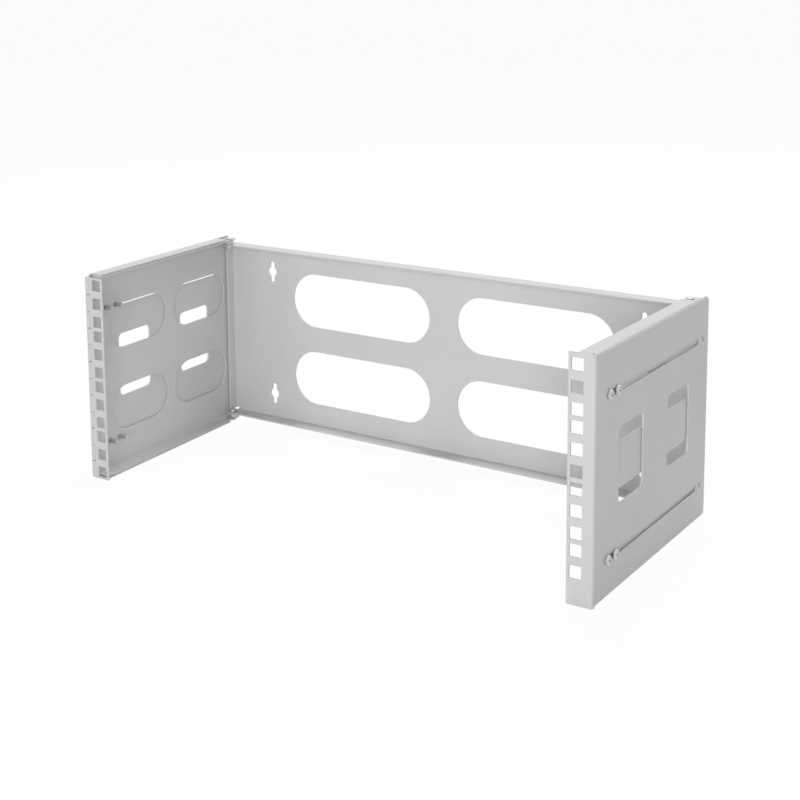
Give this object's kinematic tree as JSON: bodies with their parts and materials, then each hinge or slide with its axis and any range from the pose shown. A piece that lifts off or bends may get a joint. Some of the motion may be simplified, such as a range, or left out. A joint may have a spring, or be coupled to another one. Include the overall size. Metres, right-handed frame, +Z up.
{
  "type": "wall mount open frame rack",
  "caption": "Shallow wall mount equipment bracket: folded wall plate with oblong openings, two telescopic swing arms with punched rails, one of them on a long hinge.",
  "frame": {"origin": "middle of the wall plate's rear face, where it lies on the wall", "axes": "+X along the wall to the right as seen from the room, +Y into the wall, +Z up"},
  "size_m": [0.4958, 0.2067, 0.182],
  "materials": {
    "powder_coat": "satin light grey powder coat on sheet steel",
    "zinc": "plain zinc plating"
  },
  "bodies": {
    "wall_frame": {"wall_plate": "powder_coat", "left_pivot_rivet_lower": "zinc", "left_pivot_rivet_upper": "zinc", "right_pivot_rivet_lower": "zinc", "right_pivot_rivet_upper": "zinc", "left_pivot_washer_lower": "zinc", "left_pivot_washer_upper": "zinc", "right_pivot_washer_lower": "zinc", "right_pivot_washer_upper": "zinc"},
    "left_arm": {"left_inner_panel": "powder_coat", "left_clamp_screw_lower_front": "zinc", "left_clamp_screw_lower_rear": "zinc", "left_clamp_screw_upper_front": "zinc", "left_clamp_screw_upper_rear": "zinc"},
    "left_slide": {"left_outer_plate": "powder_coat", "rail_hinge_pin": "zinc"},
    "hinged_rail": {"left_rail": "powder_coat"},
    "right_arm": {"right_inner_panel": "powder_coat", "right_clamp_screw_lower_front": "zinc", "right_clamp_screw_lower_rear": "zinc", "right_clamp_screw_upper_front": "zinc", "right_clamp_screw_upper_rear": "zinc"},
    "right_slide": {"right_outer_plate": "powder_coat"}
  },
  "joints": [
    {"name": "left_arm_swing", "type": "hinge", "parent": "wall_frame", "child": "left_arm", "pos_m": [-0.2355, -0.0135, 0], "axis": [0, 0, -1], "range_deg": [-82, 3.5]},
    {"name": "left_arm_extend", "type": "slide", "parent": "left_arm", "child": "left_slide", "axis": [0.061, -0.9981, 0], "range_m": [0, 0.145]},
    {"name": "left_rail_swing", "type": "hinge", "parent": "left_slide", "child": "hinged_rail", "pos_m": [-0.23195, -0.20414, 0], "axis": [0, 0, -1], "range_deg": [-3.5, 176.5]},
    {"name": "right_arm_swing", "type": "hinge", "parent": "wall_frame", "child": "right_arm", "pos_m": [0.2355, -0.0135, 0], "axis": [0, 0, -1], "range_deg": [0, 85.5]},
    {"name": "right_arm_extend", "type": "slide", "parent": "right_arm", "child": "right_slide", "axis": [0, -1, 0], "range_m": [0, 0.145]}
  ]
}
